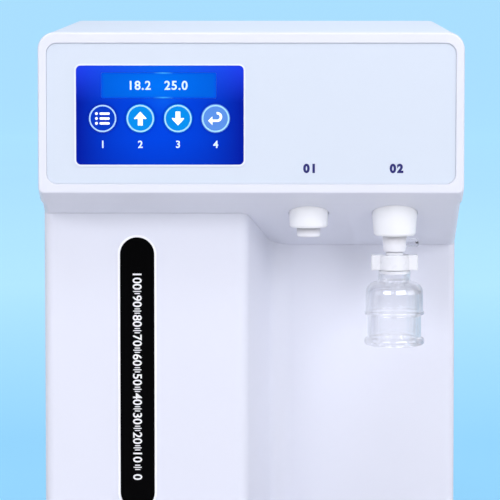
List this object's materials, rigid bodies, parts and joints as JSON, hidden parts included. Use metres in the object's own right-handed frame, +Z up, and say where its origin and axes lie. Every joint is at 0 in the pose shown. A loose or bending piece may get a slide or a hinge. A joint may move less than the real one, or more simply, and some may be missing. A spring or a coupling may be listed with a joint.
{
  "type": "ultrapure water system",
  "caption": "Benchtop water purifier with an overhanging display head, a column, a dispensing recess with outlets and a clear final filter bell over a drip tray.",
  "frame": {"origin": "middle of the footprint, on the surface that the feet stand on", "axes": "+X to the right and +Y into the depth as seen from the front, +Z up"},
  "size_m": [0.35, 0.44, 0.48],
  "materials": {
    "housing_white": "fine satin moulded plastic",
    "panel_white": "smooth satin plate",
    "display_blue": "glossy printed overlay",
    "lcd_lens": "clear glossy window",
    "lcd_black": "matt",
    "key_dark_blue": "glossy",
    "key_azure": "glossy",
    "key_pale_blue": "glossy",
    "black_plastic": "matt",
    "gloss_black": "polished",
    "circuit_green": "solder mask",
    "pin_steel": "bright",
    "grey_plastic": "satin",
    "rear_grey": "fine powder coat",
    "fitting_grey": "satin",
    "collet_blue": "satin",
    "collet_grey": "satin",
    "collet_white": "satin",
    "contact_brass": "bright",
    "outlet_white": "satin gloss",
    "seal_rubber": "matt",
    "clear_plastic": "clear moulded plastic",
    "frosted_plastic": "translucent moulded plastic",
    "membrane_white": "fine white membrane",
    "foot_rubber": "matt",
    "tray_grey": "satin",
    "grille_steel": "brushed",
    "cartridge_white": "smooth",
    "cap_blue": "satin",
    "clip_white": "satin",
    "motor_steel": "drawn can",
    "lamp_steel": "polished",
    "supply_steel": "perforated case",
    "valve_white": "satin",
    "tube_white": "soft tube"
  },
  "bodies": {
    "housing": {"head_bezel": "housing_white", "control_panel": "panel_white", "display_overlay": "display_blue", "lcd_window": "lcd_lens", "lcd_module": "lcd_black", "tact_switches": "black_plastic", "keypad_board": "circuit_green", "underside_panel": "housing_white", "front_cover": "housing_white", "strip_lens": "gloss_black", "strip_trim": "panel_white", "top_cover": "housing_white", "left_side_panel": "housing_white", "right_side_panel": "housing_white", "door_hinge_pins": "pin_steel", "door_touch_latch": "grey_plastic", "rear_panel": "rear_grey", "rear_screws": "pin_steel", "tube_ports": "fitting_grey", "power_inlet": "black_plastic", "inlet_pins": "contact_brass", "outlet_bracket": "grey_plastic", "pure_outlet_nozzle": "outlet_white", "ultrapure_outlet_nozzle": "outlet_white", "outlet_o_ring": "seal_rubber", "vent_valve": "clear_plastic", "base_pan": "housing_white", "rubber_feet": "foot_rubber", "bulkhead": "rear_grey", "prefilter_cartridge": "cartridge_white", "ro_membrane_housing": "cartridge_white", "polishing_cartridge": "cartridge_white", "cartridge_caps": "cap_blue", "cartridge_clips": "clip_white", "booster_pump": "black_plastic", "pump_motor": "motor_steel", "uv_lamp_housing": "lamp_steel", "power_supply": "supply_steel", "control_board": "circuit_green", "solenoid_valves": "valve_white", "conductivity_cell": "fitting_grey", "internal_tubes": "tube_white"},
    "key_list": {"key_list": "key_dark_blue"},
    "key_up": {"key_up": "key_azure"},
    "key_down": {"key_down": "key_azure"},
    "key_return": {"key_return": "key_pale_blue"},
    "pure_collar": {"pure_outlet_collar": "outlet_white"},
    "ultrapure_collar": {"ultrapure_outlet_collar": "outlet_white"},
    "capsule": {"capsule_inlet": "frosted_plastic", "capsule_bell": "clear_plastic", "filter_membrane": "membrane_white"},
    "wing_collar": {"wing_collar": "frosted_plastic"},
    "door": {"service_door": "housing_white"},
    "feed_collet": {"feed_collet": "collet_blue"},
    "drain_collet": {"drain_collet": "collet_grey"},
    "tank_collet": {"tank_collet": "collet_white"},
    "rocker": {"rocker_switch": "gloss_black"},
    "fuse_drawer": {"fuse_drawer": "black_plastic"},
    "tray": {"drip_tray": "tray_grey"},
    "grille": {"drip_grille": "grille_steel"}
  },
  "joints": [
    {"name": "press_list", "type": "slide", "parent": "housing", "child": "key_list", "axis": [0, 1, 0], "range_m": [0, 0.0005], "stiffness_N_per_m": 600, "springref_m": -0.0005},
    {"name": "press_up", "type": "slide", "parent": "housing", "child": "key_up", "axis": [0, 1, 0], "range_m": [0, 0.0005], "stiffness_N_per_m": 600, "springref_m": -0.0005},
    {"name": "press_down", "type": "slide", "parent": "housing", "child": "key_down", "axis": [0, 1, 0], "range_m": [0, 0.0005], "stiffness_N_per_m": 600, "springref_m": -0.0005},
    {"name": "press_return", "type": "slide", "parent": "housing", "child": "key_return", "axis": [0, 1, 0], "range_m": [0, 0.0005], "stiffness_N_per_m": 600, "springref_m": -0.0005},
    {"name": "pure_collar_turn", "type": "hinge", "parent": "housing", "child": "pure_collar", "pos_m": [0.0476, -0.172, 0.325], "axis": [0, 0, 1], "range_deg": [0, 90]},
    {"name": "ultrapure_collar_turn", "type": "hinge", "parent": "housing", "child": "ultrapure_collar", "pos_m": [0.1194, -0.172, 0.325], "axis": [0, 0, 1], "range_deg": [0, 90]},
    {"name": "capsule_pull", "type": "slide", "parent": "housing", "child": "capsule", "axis": [0, 0, -1], "range_m": [0, 0.03]},
    {"name": "wing_turn", "type": "hinge", "parent": "capsule", "child": "wing_collar", "pos_m": [0.1194, -0.172, 0.287], "axis": [0, 0, 1], "range_deg": [0, 90]},
    {"name": "door_swing", "type": "hinge", "parent": "housing", "child": "door", "pos_m": [-0.1695, 0.1455, 0.245], "axis": [0, 0, -1], "range_deg": [0, 90]},
    {"name": "feed_release", "type": "slide", "parent": "housing", "child": "feed_collet", "axis": [0, -1, 0], "range_m": [0, 0.001]},
    {"name": "drain_release", "type": "slide", "parent": "housing", "child": "drain_collet", "axis": [0, -1, 0], "range_m": [0, 0.001]},
    {"name": "tank_release", "type": "slide", "parent": "housing", "child": "tank_collet", "axis": [0, -1, 0], "range_m": [0, 0.001]},
    {"name": "rocker_throw", "type": "hinge", "parent": "housing", "child": "rocker", "pos_m": [-0.11, 0.1975, 0.128], "axis": [1, 0, 0], "range_deg": [0, 20]},
    {"name": "fuse_pull", "type": "slide", "parent": "housing", "child": "fuse_drawer", "axis": [0, 1, 0], "range_m": [0, 0.018]},
    {"name": "tray_lift", "type": "slide", "parent": "housing", "child": "tray", "axis": [0, 0, 1], "range_m": [0, 0.04]},
    {"name": "grille_lift", "type": "slide", "parent": "tray", "child": "grille", "axis": [0, 0, 1], "range_m": [0, 0.03]}
  ]
}
